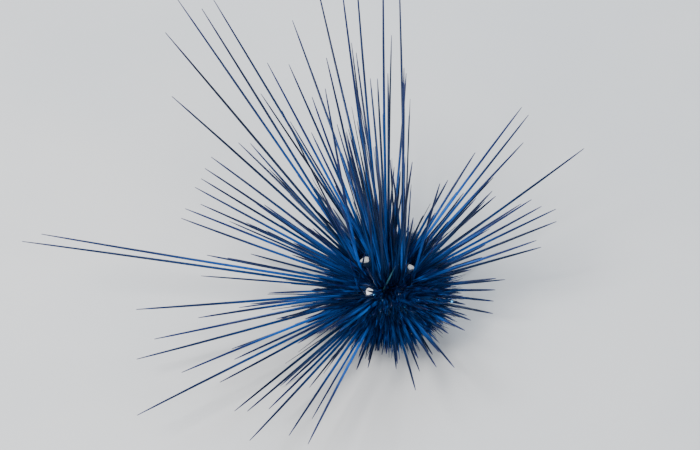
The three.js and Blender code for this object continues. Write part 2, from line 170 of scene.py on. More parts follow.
# Points in millimetres about the test's axis. Faces is a list of whole index arrays, one for each face size.
def putMesh(name, points, faces, material, uv=None, marks=None, nodes=()):
    mesh = bpy.data.meshes.new(name)
    place = np.asarray(points, float) * mm + axisPlace
    corners = np.concatenate([f.ravel() for f in faces]).astype(np.int32)
    sizes = np.concatenate([np.full(len(f), f.shape[1]) for f in faces])
    starts = np.concatenate([[0], np.cumsum(sizes)[:-1]]).astype(np.int32)
    mesh.vertices.add(len(place))
    mesh.vertices.foreach_set("co", place.ravel())
    mesh.loops.add(len(corners))
    mesh.loops.foreach_set("vertex_index", corners)
    mesh.polygons.add(len(sizes))
    mesh.polygons.foreach_set("loop_start", starts)
    mesh.polygons.foreach_set("loop_total", sizes.astype(np.int32))
    mesh.polygons.foreach_set("use_smooth", np.ones(len(sizes), bool))
    if uv is not None:
        layer = mesh.uv_layers.new(name="OFBake")
        layer.data.foreach_set("uv", uv[corners].ravel())
    for key, values in (marks or {}).items():
        mark = mesh.attributes.new(key, "FLOAT", "POINT")
        mark.data.foreach_set("value", np.asarray(values, float).ravel())
    mesh.update()
    mesh.validate()
    mesh.materials.append(material)
    made = bpy.data.objects.new(name, mesh)
    bpy.context.collection.objects.link(made)
    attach(made, "root")
    if nodes:
        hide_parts(*nodes)
    print(name, len(place), "points", int(np.sum(sizes - 2)), "triangles")
    return made


# Quads between rings of points, then a fan onto one point at each end
def ringFaces(rings, sides):
    ring = np.arange(rings - 1)[:, None] * sides
    side = np.arange(sides)[None, :]
    nextSide = (side + 1) % sides
    quads = np.stack([ring + side, ring + nextSide, ring + sides + nextSide, ring + sides + side], -1)
    low, high = rings * sides, rings * sides + 1
    side = np.arange(sides)
    nextSide = (side + 1) % sides
    last = (rings - 1) * sides
    caps = np.concatenate([
        np.stack([np.full(sides, low), nextSide, side], -1),
        np.stack([np.full(sides, high), last + side, last + nextSide], -1)])
    return quads.reshape(-1, 4), caps


# The faces of one shape carried over to each of its copies: its own points come after those before it
def copiedFaces(faces, count, size):
    shift = (np.arange(count) * size)[:, None, None]
    return [(face[None] + shift).reshape(-1, face.shape[1]) for face in faces]


# Profile of (radius, height) turned about the axis. Its first and last entries lie on the axis.
def turnedPiece(profile, sides, wobble):
    profile = np.asarray(profile, float)
    turn = np.arange(sides) * 2 * math.pi / sides
    radius, height = profile[1:-1, 0][:, None], profile[1:-1, 1][:, None]
    wider, higher = wobble(radius, height, turn[None, :])
    radius, height = radius + wider, height + higher
    radius, height = np.broadcast_arrays(radius + 0 * turn, height + 0 * turn)
    body = polar(radius, turn, height).reshape(-1, 3)
    ends = np.array([[0, 0, profile[0, 1]], [0, 0, profile[-1, 1]]])
    return np.concatenate([body, ends]), list(ringFaces(len(profile) - 2, sides))


# Points of a profile eased between its knots by a cardinal curve
def smoothProfile(knots, steps):
    knots = np.asarray(knots, float)
    padded = np.concatenate([knots[:1] * 2 - knots[1:2], knots, knots[-1:] * 2 - knots[-2:-1]])
    t = np.linspace(0, 1, steps, endpoint=False)[None, :, None]
    p0, p1, p2, p3 = (padded[i:len(padded) - 3 + i][:, None, :] for i in range(4))
    curve = 0.5 * (2 * p1 + (p2 - p0) * t + (2 * p0 - 5 * p1 + 4 * p2 - p3) * t ** 2
                   + (3 * p1 - p0 - 3 * p2 + p3) * t ** 3)
    return np.concatenate([curve.reshape(-1, 2), knots[-1:]])


# Each spine is a profile carried along its own line. A row is a share of the length, millimetres past it,
# and a share of the radius. The line bows by bend * length * 4 * share * (1 - share).
def spineTuft(name, roots, tips, radius, look, material):
    count, sides, key = len(roots), look["sides"], look["key"]
    each = np.arange(count)
    line = tips - roots
    length = np.linalg.norm(line, axis=1)
    axis = line / length[:, None]
    steep = np.abs(axis[:, 2:3]) >= 0.9
    helper = np.where(steep, np.array([[1.0, 0, 0]]), np.array([[0, 0, 1.0]]))
    across = unit(np.cross(axis, helper))
    other = np.cross(axis, across)
    rows = np.asarray(look["rows"], float)
    distance = length[:, None] * rows[None, :, 0] + rows[None, :, 1]
    share = np.clip(distance / length[:, None], 0, 1)
    size = radius[:, None] * rows[None, :, 2]
    turn = np.arange(sides) * 2 * math.pi / sides + vary(key + each)[:, None] * 2
    swing = (vary(key + 0.5 + each) * 2 * math.pi)[:, None, None]
    bow = (look["bend"] * length)[:, None] * share * (1 - share) * 4
    bowWay = across[:, None, :] * np.cos(swing) + other[:, None, :] * np.sin(swing)
    centre = roots[:, None, :] + axis[:, None, :] * distance[..., None] + bow[..., None] * bowWay
    outwards = (across[:, None, None, :] * np.cos(turn)[:, None, :, None]
                + other[:, None, None, :] * np.sin(turn)[:, None, :, None])
    rings = len(rows)
    body = (centre[:, :, None, :] + outwards * size[..., None, None]).reshape(count, rings * sides, 3)
    point = look.get("blunt", np.maximum(0.25, 2 * size[:, -1:]))
    ends = np.stack([centre[:, 0] - axis * 0.2, centre[:, -1] + axis * point], axis=1)
    points = np.concatenate([body, ends], axis=1)
    faces = copiedFaces(ringFaces(rings, sides), count, points.shape[1])
    along = np.concatenate(
        [np.repeat(share, sides, axis=1), np.zeros((count, 1)), np.ones((count, 1))], axis=1)
    # each needle's random tone, which also sets its painted light: from shaded black to glinting blue
    paintedLightAndTone = np.broadcast_to(vary(key + 7.7 + each)[:, None], along.shape)
    # each spine is one small patch of the unwrap, at its root
    roundShare = np.tile(np.arange(sides) / sides, (count, rings))
    roundShare = np.concatenate([roundShare, np.full((count, 2), 0.5)], axis=1)
    place = unwrapPlace(roots)[:, None, :] + unwrap["patch"] * (np.stack([roundShare, along], -1) - 0.5)
    marks = {"along": along, "lengthMark": along * length[:, None], "paintedLightAndTone": paintedLightAndTone}
    putMesh(name, points.reshape(-1, 3), faces, material, place.reshape(-1, 2), marks,
            bandNodes)


# Principled surface with its constants set on the shader's own sockets
def nodeMaterial(name, **constants):
    material = bpy.data.materials.new(name)
    material.use_nodes = True
    shader = material.node_tree.nodes["Principled BSDF"]
    for socket, value in constants.items():
        shader.inputs[socket.replace("_", " ")].default_value = value
    return material, material.node_tree.nodes, material.node_tree.links, shader


# Colour for a source value, eased between the stops
def rampOf(nodes, links, source, stops):
    ramp = nodes.new("ShaderNodeValToRGB")
    ramp.color_ramp.interpolation = "EASE"
    while len(ramp.color_ramp.elements) < len(stops):
        ramp.color_ramp.elements.new(0.5)
    for element, (place, colour) in zip(ramp.color_ramp.elements, stops):
        element.position = place
        element.color = (*colour, 1)
    links.new(source, ramp.inputs["Fac"])
    return ramp.outputs["Color"]


# A socket is linked, a plain value is set
def feed(links, value, target):
    if isinstance(value, bpy.types.NodeSocket):
        links.new(value, target)
    else:
        target.default_value = value


# First colour blended into the second, a colour or a socket, by a socket's share
def mixOf(nodes, links, first, second, share):
    node = nodes.new("ShaderNodeMix")
    node.data_type = "RGBA"
    if not isinstance(second, bpy.types.NodeSocket):
        second = (*second, 1)
    factor, colours = node.inputs[0], node.inputs[6:8]
    for target, value in ((factor, share), (colours[0], first), (colours[1], second)):
        feed(links, value, target)
    return node.outputs[2]


# One step of arithmetic on sockets or plain values
def mathOf(nodes, links, kind, first, second=0.0):
    node = nodes.new("ShaderNodeMath")
    node.operation = kind
    feed(links, first, node.inputs[0])
    feed(links, second, node.inputs[1])
    return node.outputs[0]


# Height turned into a slope of the surface, distance in metres
def bumpOf(nodes, links, shader, height, strength, distance):
    bump = nodes.new("ShaderNodeBump")
    bump.inputs["Strength"].default_value = strength
    bump.inputs["Distance"].default_value = distance
    links.new(height, bump.inputs["Height"])
    links.new(bump.outputs["Normal"], shader.inputs["Normal"])


# Noise fixed to the object, scale in waves to a metre
def noiseOf(nodes, links, scale, detail=3.0):
    noise = nodes.new("ShaderNodeTexNoise")
    noise.inputs["Scale"].default_value = scale
    noise.inputs["Detail"].default_value = detail
    place = nodes.new("ShaderNodeTexCoord")
    links.new(place.outputs["Object"], noise.inputs["Vector"])
    return noise.outputs["Fac"]


# Value that a piece's points carry under a name
def attributeOf(nodes, name):
    node = nodes.new("ShaderNodeAttribute")
    node.attribute_name = name
    return node.outputs["Fac"]


# Ramp of greys, which serves as a share
def greyRamp(nodes, links, source, stops):
    return rampOf(nodes, links, source, [(place, (grey, grey, grey)) for place, grey in stops])


spineLook = {
    # painted light over the needles' own navy: from needles painted in shade to vivid blue ones painted as
    # glinting
    "lowerColourAndSheen": [(0.0, (0.0010, 0.009, 0.034)), (0.4, (0.0018, 0.030, 0.124)),
              (0.75, (0.003, 0.066, 0.29)), (1.0, (0.006, 0.13, 0.56))],
    "outer": [(0.0, (0.0006, 0.0012, 0.006)), (0.6, (0.003, 0.006, 0.034)), (1.0, (0.006, 0.013, 0.08))],
    "tip": (0.022, 0.016, 0.085),  # indigo
    # painted shade where the needles meet the crowded body; the dark noise mottle uses this colour too
    "root": (0.0004, 0.003, 0.010),
    "outerFrom": (0.34, 0.66),  # where the lower part's blue, with its painted sheen, fades to blue-black
    "ringStep": 1.1,  # millimetres between the fine rings
}


# Blue near the body and blue-black farther out, each picked by the needle's random tone and painted light,
# then an indigo tip. The blue near the body is partly the needles' navy and partly a painted blue sheen.
def makeSpineMaterial(name, look):
    material, nodes, links, shader = nodeMaterial(
        name, Roughness=0.3, IOR=1.5, Specular_Tint=(0.22, 0.42, 1.0, 1),
        Coat_Weight=0.18, Coat_Roughness=0.16, Coat_Tint=(0.5, 0.68, 1.0, 1))
    along, paintedLightAndTone = attributeOf(nodes, "along"), attributeOf(nodes, "paintedLightAndTone")
    low, high = look["outerFrom"]
    lowerColourAndSheen = rampOf(nodes, links, paintedLightAndTone, look["lowerColourAndSheen"])
    outer = rampOf(nodes, links, paintedLightAndTone, look["outer"])
    colour = mixOf(nodes, links, lowerColourAndSheen, outer, greyRamp(nodes, links, along, [(low, 0), (high, 1)]))
    colour = mixOf(nodes, links, colour, look["tip"], greyRamp(nodes, links, along, [(0.8, 0), (1.0, 0.8)]))
    # painted shade over the first tenth of each needle, at its root
    colour = mixOf(nodes, links, colour, look["root"], greyRamp(nodes, links, along, [(0.0, 0.85), (0.1, 0)]))
    mottle = mathOf(nodes, links, "MULTIPLY", noiseOf(nodes, links, 160), 0.4)
    links.new(mixOf(nodes, links, colour, look["root"], mottle), shader.inputs["Base Color"])
    rings = mathOf(nodes, links, "MULTIPLY", attributeOf(nodes, "lengthMark"), 2 * math.pi / look["ringStep"])
    bumpOf(nodes, links, shader, mathOf(nodes, links, "SINE", rings), 0.35, 0.0002)
    return material


needleMaterial = makeSpineMaterial("needle surface", spineLook)
shortMaterial = makeSpineMaterial(
    "short spine surface", {**spineLook, "ringStep": 0.7, "outerFrom": (0.55, 0.95)})


# Colours dappled by noise, one more blended in by a mark, and a finer noise as bump. Dapple is waves to a
# metre and detail, bump is the same of its own noise, then strength and metres, mark is its name and colour.
def makeDappled(name, stops, dapple, bump=None, mark=None, **constants):
    material, nodes, links, shader = nodeMaterial(name, **constants)
    colour = rampOf(nodes, links, noiseOf(nodes, links, *dapple), stops)
    if mark:
        colour = mixOf(nodes, links, colour, mark[1], attributeOf(nodes, mark[0]))
    links.new(colour, shader.inputs["Base Color"])
    if bump:
        bumpOf(nodes, links, shader, noiseOf(nodes, links, *bump[:2]), *bump[2:])
    return material


# Test skin: dark navy dappled by noise, bluer where the skin is raised and darker in its seams, as painted
# light and shade following the relief
skinMaterial = makeDappled(
    "test skin", [(0.3, (0.001, 0.005, 0.018)), (0.7, (0.002, 0.016, 0.06))], (220, 5), (900, 4, 0.4, 0.0003),
    ("reliefShade", (0.003, 0.03, 0.11)), Roughness=0.42, IOR=1.45, Specular_Tint=(0.4, 0.6, 1.0, 1))
# White spots: their own white, with a faint emission that makes them glow as painted light
whiteGlowMaterial = makeDappled(
    "white spot", [(0.3, (0.86, 0.88, 0.90)), (0.7, (0.96, 0.96, 0.94))], (500, 4), (1500, 3, 0.3, 0.0002),
    Roughness=0.35, Emission_Color=(1.0, 1.0, 0.97, 1), Emission_Strength=0.3)
# Blue specks: their own vivid blue, with a faint blue emission that makes them glow as painted light
speckGlowMaterial = makeDappled(
    "blue speck", [(0.3, (0.0, 0.16, 0.62)), (0.7, (0.03, 0.5, 0.95))], (600, 4), (1800, 3, 0.1, 0.0002),
    Roughness=0.25, Emission_Color=(0.0, 0.25, 0.9, 1), Emission_Strength=0.25)
coneMaterial = makeDappled(
    "anal cone skin", [(0.35, (0.003, 0.003, 0.010)), (0.7, (0.008, 0.014, 0.045))], (500, 4),
    (1200, 3, 0.4, 0.0002), ("ringMark", (0.26, 0.07, 0.012)), Roughness=0.35, IOR=1.4)
mouthMaterial = makeDappled(
    "mouth membrane", [(0.3, (0.012, 0.006, 0.012)), (0.7, (0.045, 0.02, 0.035))], (300, 4),
    (900, 3, 0.6, 0.0002), Roughness=0.4)
toothMaterial = makeDappled(
    "tooth enamel", [(0.3, (0.62, 0.56, 0.44)), (0.7, (0.8, 0.76, 0.66))], (400, 4), (1200, 3, 0.2, 0.0002),
    Roughness=0.3)
floorMaterial = makeDappled(
    "pale floor", [(0.3, (0.60, 0.61, 0.62)), (0.7, (0.64, 0.64, 0.64))], (6, 4), Roughness=0.8)
print("materials made")

# Clock and lean in degrees, as the viewer sees them. Reach in millimetres from the middle of the test to each
# tip. Front draws the roots of needles that lean forward towards the viewer's side of the test.
fans = [
    {"clock": (-12, 7), "lean": (24, 10), "reach": (78, 75, 77, 80)},
    {"clock": (16, 36), "lean": (4, 22), "reach": (112, 114, 129, 131, 126, 120, 170)},
    {"clock": (41, 61), "lean": (-12, 22), "reach": (101, 105, 141, 162, 161, 115, 91)},
    {"clock": (85, 99), "lean": (-26, 30), "front": 0.9,
     "reach": (158, 168, 221, 165, 232, 151, 173, 224, 177, 226)},
    {"clock": (103, 118), "lean": (-22, 30), "front": 0.8, "reach": (232, 181, 149, 215, 151, 175, 136, 182)},
    {"clock": (121, 138), "lean": (-12, 26), "front": 0.5, "reach": (241, 245, 252, 104, 242, 142, 154, 205)},
    {"clock": (143, 161), "lean": (-6, 24), "reach": (156, 162, 154, 155, 149, 154, 157)},
    {"clock": (169, 172.3), "lean": (2, 6), "reach": (130, 246, 259)},
    {"clock": (184, 195), "lean": (8, 18), "reach": (178, 138, 169, 183)},
    {"clock": (201, 208), "lean": (17, 24), "reach": (160, 125, 201, 138)},
    {"clock": (217, 226), "lean": (27, 34), "reach": (149, 147, 109, 128, 159)},
    {"clock": (234, 253), "lean": (36, 50), "reach": (149, 165, 78, 62)},
    {"clock": (267, 311), "lean": (46, 58), "reach": (64, 86, 107, 72, 100, 102)},
    {"clock": (325, 341), "lean": (44, 30), "reach": (64, 68, 73)},
    {"clock": (88, 126), "lean": (-52, -38), "reach": (128, 136, 150, 142, 120, 134, 110)},
    {"clock": (40, 84), "lean": (-72, -60), "reach": (84, 96, 78, 90, 82, 94)},
    {"clock": (14, 54), "lean": (-46, -20), "reach": (92, 84, 101, 88, 96)},
    {"clock": (126, 166), "lean": (-44, -18), "reach": (118, 104, 126, 98, 112)},
    {"clock": (66, 126), "lean": (38, 58), "front": 0.25,
     "reach": (112, 96, 134, 104, 142, 92, 126, 110, 98)},
]
needle = {
    "longRadius": 1.0, "fillRadius": 0.85, "taperAt": 0.8, "taperTo": 0.4,
    "floorRoom": 2.0, "rootSpacing": 2.9, "spreadRounds": 40,
}
fill = {
    "count": 236, "low": -22, "high": 72, "key": 11, "jitter": 0.16,
    "share": (0.38, 0.98), "evenness": 1.9,
}
# Sectors between the first fans, and the far side, where the needles that fill the coat are shorter
sparse = {"fans": 14, "from": 2.0, "over": 3.5, "share": 0.42, "behind": 0.4, "least": 44}
reachBlur = 0.03


# Tips at a distance along each direction, kept above the floor
def tipsAlong(direction, reach):
    tips = middle + direction * reach[:, None]
    tips[:, 2] = np.maximum(tips[:, 2], needle["floorRoom"])
    return tips


# Clock runs evenly over each fan, lean goes by golden steps, and needles that lean forward have their roots
# nearer the viewer
def fanNeedles():
    direction, reach, front = [], [], []
    for fan in fans:
        step = np.arange(len(fan["reach"]))
        clock = between(*fan["clock"], step / (len(step) - 1))
        lean = between(*fan["lean"], (step * goldenShare + 0.3) % 1)
        direction.append(seenDirection(np.radians(clock), np.radians(lean)))
        reach.append(np.array(fan["reach"], float))
        front.append(np.where(lean > 2, fan.get("front", 0) * (0.6 + 0.8 * vary(step + 5.5)), 0))
    direction, reach, front = map(np.concatenate, (direction, reach, front))
    tips = tipsAlong(direction, reach)
    roots = onTest(middle + unit(tips - middle) + front[:, None] * towardsViewer)
    return direction, reach, tips, roots


fanDirection, fanReach, fanTips, fanRoots = fanNeedles()


# The fans' own reach near a direction, weighted by closeness
def localReach(direction):
    weight = np.exp((direction @ fanDirection.T - 1) / reachBlur)
    return (weight * fanReach).sum(axis=1) / weight.sum(axis=1)


# Directions on a golden spiral between two heights, scattered a little
def spread(count, low, high, key, jitter):
    step = np.arange(count)
    low, high = np.sin(np.radians([low, high]))
    rise = np.arcsin(low + (high - low) * (step + 0.5) / count) + jitter * (vary(key + step + 0.4) - 0.5)
    turn = step * goldenTurn + key + jitter * (vary(key + step + 0.9) - 0.5)
    return polar(np.cos(rise), turn, np.sin(rise))


# 1 inside the fans, easing down to a lower share in the empty sectors that the viewer sees between them
def fullness(direction):
    view = math.radians(test["viewRise"])
    up = direction[:, 1] * math.sin(view) + direction[:, 2] * math.cos(view)
    clock = np.degrees(np.arctan2(up, direction[:, 0]))
    low, high = np.array([fan["clock"] for fan in fans[:sparse["fans"]]], float).T
    offset = np.abs((clock[:, None] - (low + high) / 2 + 540) % 360 - 180)
    outside = np.maximum(0, offset - (high - low) / 2).min(axis=1)
    t = np.clip((outside - sparse["from"]) / sparse["over"], 0, 1)
    eased = 1 + (sparse["share"] - 1) * t * t * (3 - 2 * t)
    return eased * (1 - sparse["behind"] * np.clip(-direction @ towardsViewer + 0.15, 0, 0.6) / 0.6)


# Tips at a scattered share of the local reach
def fillNeedles():
    direction = spread(fill["count"], fill["low"], fill["high"], fill["key"], fill["jitter"])
    low, high = fill["share"]
    share = low + (high - low) * vary(np.arange(fill["count"]) + 500.3) ** fill["evenness"]
    reach = np.maximum(localReach(direction) * share * fullness(direction), sparse["least"])
    tips = tipsAlong(direction, reach)
    return tips, reach, onTest(tips)


# Each round pushes every pair of roots nearer than the spacing apart, then puts them back on the test
def movedApart(roots, spacing, rounds):
    for _ in range(rounds):
        away = roots[:, None, :] - roots[None, :, :]
        distance = np.linalg.norm(away, axis=2)
        near = (distance < spacing) & ~np.eye(len(roots), dtype=bool)
        strength = np.where(near, 0.45 * (spacing - distance) / np.maximum(distance, 0.05), 0)
        roots = onTest(roots + (away * strength[..., None]).sum(axis=1))
    return roots


spotPlaces = [
    {"turn": -11, "out": 21.5, "size": 1.25},
    {"turn": 5, "out": 19.5, "size": 1.0},
    {"turn": -3, "out": 18.5, "size": 0.9},
    {"turn": 17, "out": 17.0, "size": 0.9},
    {"turn": 4, "out": 19.0, "size": 0.9},
]
spotTurn = np.radians([test["firstWide"] + 72 * i + p["turn"] for i, p in enumerate(spotPlaces)])
spotOut = np.array([p["out"] for p in spotPlaces])
spotSize = 2.5 * np.array([p["size"] for p in spotPlaces])
spotCentre = polar(spotOut, spotTurn, middle[2] + testHeight(spotOut, test["top"]))


# Middle and half width of the band at each turn, in degrees: wide and narrow ones by turns
def bandsOf(turn):
    middles = test["firstWide"] + 36 * np.arange(10)
    halves = np.where(np.arange(10) % 2, test["narrowHalf"], test["wideHalf"])
    offset = (turn[..., None] - middles + 540) % 360 - 180
    best = np.argmin(np.abs(offset) / halves, axis=-1)
    return best, middles[best], halves[best], np.take_along_axis(offset, best[..., None], -1)[..., 0]


# Roots turned about the axis until the whole of their width stands in one band
def keptIn(roots, radius):
    out = np.hypot(roots[..., 0], roots[..., 1])
    turn = np.degrees(np.arctan2(roots[..., 1], roots[..., 0]))
    band, bandMiddle, half, offset = bandsOf(turn)
    edge = np.degrees(np.arcsin(np.minimum(1, (radius + test["gap"] * 0.7) / out)))
    limit = np.maximum(0, half - edge)
    turn = np.radians(bandMiddle + np.clip(offset, -limit, limit))
    return band, polar(out, turn, roots[..., 2])


# Share of a needle's radius: straight from 1 at the root down to taperTo, and level after that
def narrowing(share):
    at, to = needle["taperAt"], needle["taperTo"]
    return np.where(share < at, 1 + (to - 1) * share / at, to)


# Least distance between two lines from their closest points, less the thickness of both there
def room(rootA, endA, radiusA, rootB, endB, radiusB):
    u, v, w = endA - rootA, endB - rootB, rootA - rootB
    uu, uv, vv, uw, vw = ((a * b).sum(-1) for a, b in ((u, u), (u, v), (v, v), (u, w), (v, w)))
    s = np.clip((uv * vw - vv * uw) / np.maximum(uu * vv - uv * uv, 1e-9), 0, 1)
    t = np.clip((uv * s + vw) / vv, 0, 1)
    s = np.clip((uv * t - uw) / uu, 0, 1)
    gap = np.linalg.norm(w + u * s[..., None] - v * t[..., None], axis=-1)
    return gap - radiusA * narrowing(s) - radiusB * narrowing(t)


# Distance from a point to each line between its root and its end
def distanceTo(point, roots, ends):
    line = ends - roots
    share = np.clip(((point - roots) * line).sum(-1) / (line * line).sum(-1), 0, 1)
    return np.linalg.norm(roots + line * share[..., None] - point, axis=-1)


clearing = {
    "between": 0.4,  # needles of two bands
    "within": 0.05,  # needles of one band
    "spotRoom": 0.6, "coneTimes": 1.3, "asideRoom": 0.4,
    "shift": 1.2, "rings": 9,
}
# Rows of root's distance out, foot's distance out and how many. The lines end a little below the floor.
feet = {"rows": [(21, 24, 10), (27, 34, 15)], "radius": 1.15, "turn": 6, "below": 1.0}


# Lines that pass the cone's middle at a multiple of its radius or more
def clearOfCone(roots, ends, radius, times):
    return distanceTo(coneMiddle, roots, ends) >= cone["radius"] * times + radius


# The root itself, then places in widening rings round it
def triesRound(root):
    ring = np.concatenate([[0], np.repeat(np.arange(1, clearing["rings"] + 1), 8)])
    step = np.concatenate([[0], np.tile(np.arange(8), clearing["rings"])])
    angle = step * math.pi / 4 + ring * 0.4
    side = clearing["shift"] * ring * np.cos(angle)
    up = clearing["shift"] * ring * np.sin(angle)
    out = math.hypot(root[0], root[1])
    across, towards = root[0] / out, root[1] / out
    return onTest(np.stack([root[0] - side * towards, root[1] + side * across, root[2] + up], -1))


# Lower spines on two circles: from the test down to a foot farther out
def placeFeet():
    placed = {"band": [], "root": [], "end": [], "radius": [], "kind": []}
    for out, foot, count in feet["rows"]:
        turn = np.radians(360 * (np.arange(count) + 0.5) / count + feet["turn"])
        height = middle[2] - testHeight(out, test["bottom"])
        roots = polar(out, turn, np.full(count, height))
        band, roots = keptIn(roots, feet["radius"])
        placed["band"] += list(band)
        placed["root"] += list(roots)
        placed["end"] += list(unit(roots * np.array([1, 1, 0])) * foot - np.array([0, 0, feet["below"]]))
        placed["radius"] += [feet["radius"]] * count
        placed["kind"] += ["foot"] * count
    return placed


# Longest first, each needle takes the first root from which it clears the others, the spots and the cone
def placeNeedles(placed, roots, tips, reach, radius, kind):
    for i in np.argsort(-reach, kind="stable"):
        band, tries = keptIn(triesRound(roots[i]), radius[i])
        ends = np.broadcast_to(tips[i], tries.shape)
        free = clearOfCone(tries, ends, radius[i], clearing["coneTimes"])
        for centre, size in zip(spotCentre, spotSize):
            free &= distanceTo(centre, tries, ends) >= size + radius[i] + clearing["spotRoom"]
        others = (np.array(placed[key])[None] for key in ("root", "end", "radius"))
        gap = room(tries[:, None], ends[:, None], radius[i], *others)
        sameBand = np.array(placed["band"])[None] == band[:, None]
        free &= (gap >= np.where(sameBand, clearing["within"], clearing["between"])).all(axis=1)
        if free.any():
            first = int(np.argmax(free))
            for key, value in zip(placed, (band[first], tries[first], tips[i], radius[i], kind[i])):
                placed[key].append(value)


# Lower spines first, then the fans' and the fill needles, whose roots are moved apart before they are placed
def makeCoat():
    fillTips, fillReach, fillRoots = fillNeedles()
    roots = movedApart(np.concatenate([fanRoots, fillRoots]), needle["rootSpacing"], needle["spreadRounds"])
    tips, reach = np.concatenate([fanTips, fillTips]), np.concatenate([fanReach, fillReach])
    kind = np.array(["long"] * len(fanTips) + ["fill"] * len(fillTips))
    radius = np.where(kind == "long", needle["longRadius"], needle["fillRadius"])
    placed = placeFeet()
    placeNeedles(placed, roots, tips, reach, radius, kind)
    return {key: np.array(value) for key, value in placed.items()}


coat = makeCoat()
print("needles placed", len(coat["root"]))

# Camera's place in the test's own millimetres
cameraPlace = (middle + viewRight * (photo["widthPx"] / 2 - photo["middlePx"][0]) * photo["scale"]
               + viewUp * (photo["middlePx"][1] - photo["heightPx"] / 2) * photo["scale"]
               + towardsViewer * photo["distance"])
seenSpots = {"which": [0, 1, 3], "share": 0.9, "room": 0.5}


# Spines that pass in front of any of some round places: nearer than it, and less than its size and their own
# radius from its line of sight
def hides(places, sizes, roots, tips, radius):
    hidden = np.zeros(len(roots), bool)
    for place, size in zip(places, sizes):
        sight = unit(cameraPlace - place)
        start, line = roots - place, tips - roots
        flatStart = start - (start @ sight)[:, None] * sight
        flatLine = line - (line @ sight)[:, None] * sight
        share = np.clip(-(flatStart * flatLine).sum(-1) / np.maximum((flatLine ** 2).sum(-1), 1e-9), 0, 1)
        apart = np.linalg.norm(flatStart + flatLine * share[:, None], axis=1)
        nearer = ((start + line * share[:, None]) @ sight) > 0
        hidden |= (apart < size + radius) & nearer
    return hidden


# Spines that pass in front of a white spot that the photo shows
def hideSpot(roots, tips, radius):
    which = seenSpots["which"]
    sizes = spotSize[which] * seenSpots["share"] + seenSpots["room"]
    return hides(spotCentre[which], sizes, roots, tips, radius)


# Blue specks that the photo shows near the spots, by pixel
speckPixels = [(378.4, 300.7), (373.5, 293.9), (401.0, 269.2), (414.0, 268.2), (412.0, 277.3),
               (447.3, 298.0), (436.6, 298.2)]
speckPlaces = np.array([seenOnTest(*pixel) for pixel in speckPixels])
speckSize = 0.75


# Fine or short spines that pass in front of a white spot or a blue speck that the photo shows
def hideMark(roots, tips, radius):
    sizes = np.full(len(speckPlaces), speckSize * 0.7)
    return hideSpot(roots, tips, radius) | hides(speckPlaces, sizes, roots, tips, radius)


# Roots whose distance from every spot's middle, less its radius, is over the gap
def clearOfSpots(roots, gap):
    away = np.linalg.norm(roots[:, None, :] - spotCentre[None], axis=2) - spotSize[None]
    return (away > gap).all(axis=1)


# Three scatters about 0 for each spine
def strayOf(step, keys):
    return np.stack([vary(step + key) for key in keys], -1) - 0.5


# Only the spines that a test keeps
def growKept(name, keep, roots, tips, radius, look, material):
    spineTuft(name, roots[keep], tips[keep], radius[keep], look, material)


needleRows = [(0, -2.2, 1.15), (0, 0.2, 1.75), (0, 1.3, 1.7), (0, 2.2, 1.1), (0, 4.0, 1.0), (0.25, 0, 0.97),
              (0.5, 0, 0.9), (0.72, 0, 0.8), (0.9, 0, 0.6), (0.985, 0, 0.26)]
longLook = {"sides": 7, "rows": needleRows, "key": 100, "bend": 0.004}
fillLook = {"sides": 6, "rows": needleRows, "key": 900, "bend": 0.005}


# A needle in front of a seen spot takes the nearest root from which it leaves the spots and the cone in sight
def movedAside(roots, tips, radius):
    roots = roots.copy()
    hiding = np.flatnonzero(hideSpot(roots, tips, radius))
    for i in hiding:
        tries = triesRound(roots[i])
        ends = np.broadcast_to(tips[i], tries.shape)
        free = ~hideSpot(tries, ends, np.full(len(tries), radius[i]))
        free &= clearOfSpots(tries, radius[i] + clearing["asideRoom"])
        free &= clearOfCone(tries, ends, radius[i], clearing["coneTimes"])
        if free.any():
            roots[i] = tries[np.argmax(free)]
    print("needles in front of a seen spot", len(hiding), "left", int(hideSpot(roots, tips, radius).sum()))
    return roots


for name, kind, look in (("long_needles", "long", longLook), ("fill_needles", "fill", fillLook)):
    roots, tips, radius = (coat[key][coat["kind"] == kind] for key in ("root", "end", "radius"))
    spineTuft(name, movedAside(roots, tips, radius), tips, radius, look, needleMaterial)

fineNeedles = {
    "spread": (420, -26, 74, 57, 0.2), "share": (0.3, 0.62), "evenness": 1.5, "least": 46,
    "radius": (0.42, 0.66), "stray": 0.16, "spotRoom": 0.8, "sides": 6, "key": 1500, "bend": 0.007,
    "rows": [(0, -1.8, 1.1), (0, 0.3, 1.6), (0, 1.2, 1.5), (0, 2.0, 1.05),
             (0.3, 0, 0.88), (0.65, 0, 0.62), (0.92, 0, 0.3)],
}


# Finer needles among the others: directions on a spiral, a scattered share of the local reach, roots strayed
def makeFineNeedles():
    direction = spread(*fineNeedles["spread"])
    step = np.arange(len(direction))
    share = between(*fineNeedles["share"], vary(step + 33.3) ** fineNeedles["evenness"])
    reach = np.maximum(localReach(direction) * share * fullness(direction), fineNeedles["least"])
    tips = tipsAlong(direction, reach)
    roots = onTest(middle + unit(tips - middle) + fineNeedles["stray"] * strayOf(step, (3.1, 5.7, 8.3)))
    radius = between(*fineNeedles["radius"], vary(step + 17.9))
    keep = clearOfSpots(roots, fineNeedles["spotRoom"]) & ~hideMark(roots, tips, radius)
    growKept("fine_needles", keep, roots, tips, radius, fineNeedles, needleMaterial)


makeFineNeedles()

# Needles rooted in front of the disc that rise across it, as the viewer sees them, and hide the cone
crownNeedles = {
    "count": 64, "around": (-146, -42), "out": (13.0, 19.5), "clock": (86, 120), "lean": (4, 34),
    "reach": (70, 150), "evenness": 1.5, "radius": (0.45, 0.75), "spotRoom": 1.0, "coneTimes": 1.2,
    "sides": 6, "key": 2300, "bend": 0.006, "rows": needleRows,
}


